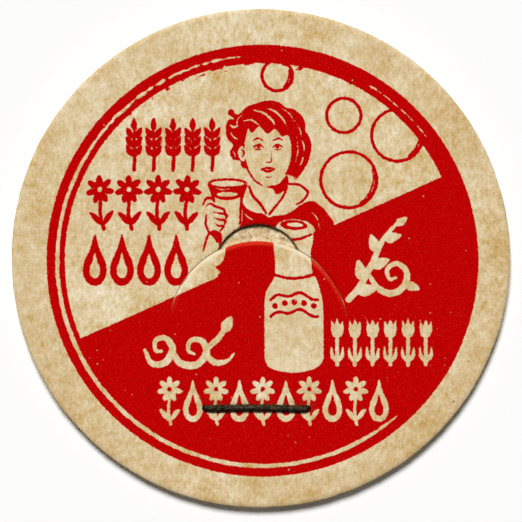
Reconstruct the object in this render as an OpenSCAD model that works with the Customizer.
// Pull-tab plug cap for a milk bottle. Two plies of waxed pulp board are laminated, a round tab
// is die cut through the upper ply only, and a wire staple anchors the root of the tab.
// Millimetres. The origin is the centre of the underside, +Z goes up through the printed face,
// +Y runs from the staple towards the thumb notch, and +X is to the right seen from above.

/* [Board] */
// Diameter of the cap, a slight press in the bottle's cap seat
cap_d = 41.3; // [38:0.1:46]
// Thickness of the upper ply, which carries the print and the tab
upper_t = 0.55; // [0.45:0.05:0.9]
// Thickness of the lower ply, which seals the bottle
lower_t = 0.65; // [0.65:0.05:1.2]

/* [Pull tab] */
// Radius of the tab's round cut
tab_r = 7.45; // [6.5:0.05:8.5]
// Centre of the tab below the centre of the cap
tab_drop = 6; // [5:0.1:6.5]
// Shift of the tab, the notch and the staple to the left of the cap's centre
tab_shift = 0.2; // [0:0.05:0.5]
// Crease that the tab hinges on, below the centre of the tab
crease_drop = 5.2; // [4:0.1:5.6]
// Width of the cut that frees the tab
kerf = 0.1; // [0.06:0.01:0.2]
// Radius of the thumb notch, which lets a nail under the tab
notch_r = 3.65; // [2.5:0.05:4.5]
// Centre of the thumb notch above the centre of the tab
notch_rise = 5.2; // [4.5:0.1:6]

/* [Staple] */
// Diameter of the staple's wire
wire_d = 0.56; // [0.4:0.02:0.6]
// Length of the crown over its two bends
crown_l = 9.15; // [8:0.05:10]
// Shift of the staple to the left of the tab's centre
staple_shift = 0.15; // [0:0.05:0.5]
// Crown below the tab's crease
staple_gap = 1.2; // [0.8:0.1:2]
// Depth that the crown is pressed into the printed face
crown_sink = 0.15; // [0.05:0.01:0.25]
// Centreline radius of the four bends
bend_r = 0.45; // [0.35:0.01:0.5]
// Straight length of each clinched leg under the cap
clinch_l = 3.2; // [2:0.1:3.5]

/* [Hidden] */
$fn = 96;

// Clearance between the wire and the board it is pressed into
wire_gap = 0.01;
// Extra depth of a cut, so that it ends in the open
over = 1;
total_t = lower_t + upper_t;
tab_x = -tab_shift;
tab_y = -tab_drop;
crease_y = tab_y - crease_drop;
notch_y = tab_y + notch_rise;
staple_x = tab_x - staple_shift;
staple_y = crease_y - staple_gap;
crown_z = total_t + wire_d / 2 - crown_sink;
clinch_z = wire_d / 2;
leg_x = (crown_l - wire_d) / 2;

kraft = [0.86, 0.78, 0.61];
ink_red = [0.75, 0.02, 0.02];
iron = [0.16, 0.10, 0.07];

// A full disc of board between two heights
module ply(low, thick) {
    translate([0, 0, low])
        cylinder(d = cap_d, h = thick);
}

// The tab's outline grown by a margin: a round cut, ended by the straight crease
module tab_blank(margin, low, thick) {
    intersection() {
        translate([tab_x, tab_y, low])
            cylinder(r = tab_r + margin, h = thick);
        translate([-cap_d / 2, crease_y, low - over])
            cube([cap_d, cap_d, thick + 2 * over]);
    }
}

// A quarter turn of wire, from the +X direction down to the -Z direction
module wire_bend(r) {
    rotate([90, 0, 0])
        rotate_extrude(angle = 90)
            translate([bend_r, 0])
                circle(r = r);
}

// Half of the staple, from its middle out to the right: crown, bend, leg, bend and clinched leg
module half_staple(r) {
    translate([0, 0, crown_z])
        rotate([0, 90, 0])
            cylinder(r = r, h = leg_x - bend_r);
    translate([leg_x - bend_r, 0, crown_z - bend_r])
        wire_bend(r);
    translate([leg_x, 0, clinch_z + bend_r])
        cylinder(r = r, h = crown_z - clinch_z - 2 * bend_r);
    translate([leg_x - bend_r, 0, clinch_z + bend_r])
        mirror([0, 0, 1])
            wire_bend(r);
    translate([leg_x - bend_r - clinch_l, 0, clinch_z])
        rotate([0, 90, 0])
            cylinder(r = r, h = clinch_l);
}

// The whole staple in its place
module staple_wire(r) {
    translate([staple_x, staple_y, 0]) {
        half_staple(r);
        mirror([1, 0, 0])
            half_staple(r);
    }
}

// The sealing ply, pierced by the legs and dented where they are clinched
module lower_board() {
    color(kraft)
        difference() {
            ply(0, lower_t);
            staple_wire(wire_d / 2 + wire_gap);
        }
}

// The printed ply, with the opening that the tab leaves and the thumb notch above it
module upper_board() {
    color(ink_red)
        difference() {
            ply(lower_t, upper_t);
            tab_blank(kerf, lower_t - over, upper_t + 2 * over);
            translate([tab_x, notch_y, lower_t - over])
                cylinder(r = notch_r, h = upper_t + 2 * over);
            staple_wire(wire_d / 2 + wire_gap);
        }
}

// The flap of the printed ply that the thumb lifts
module pull_tab() {
    color(ink_red)
        tab_blank(0, lower_t, upper_t);
}

// The iron staple that keeps the tab from tearing out
module wire_staple() {
    color(iron)
        staple_wire(wire_d / 2);
}

lower_board();
upper_board();
pull_tab();
wire_staple();
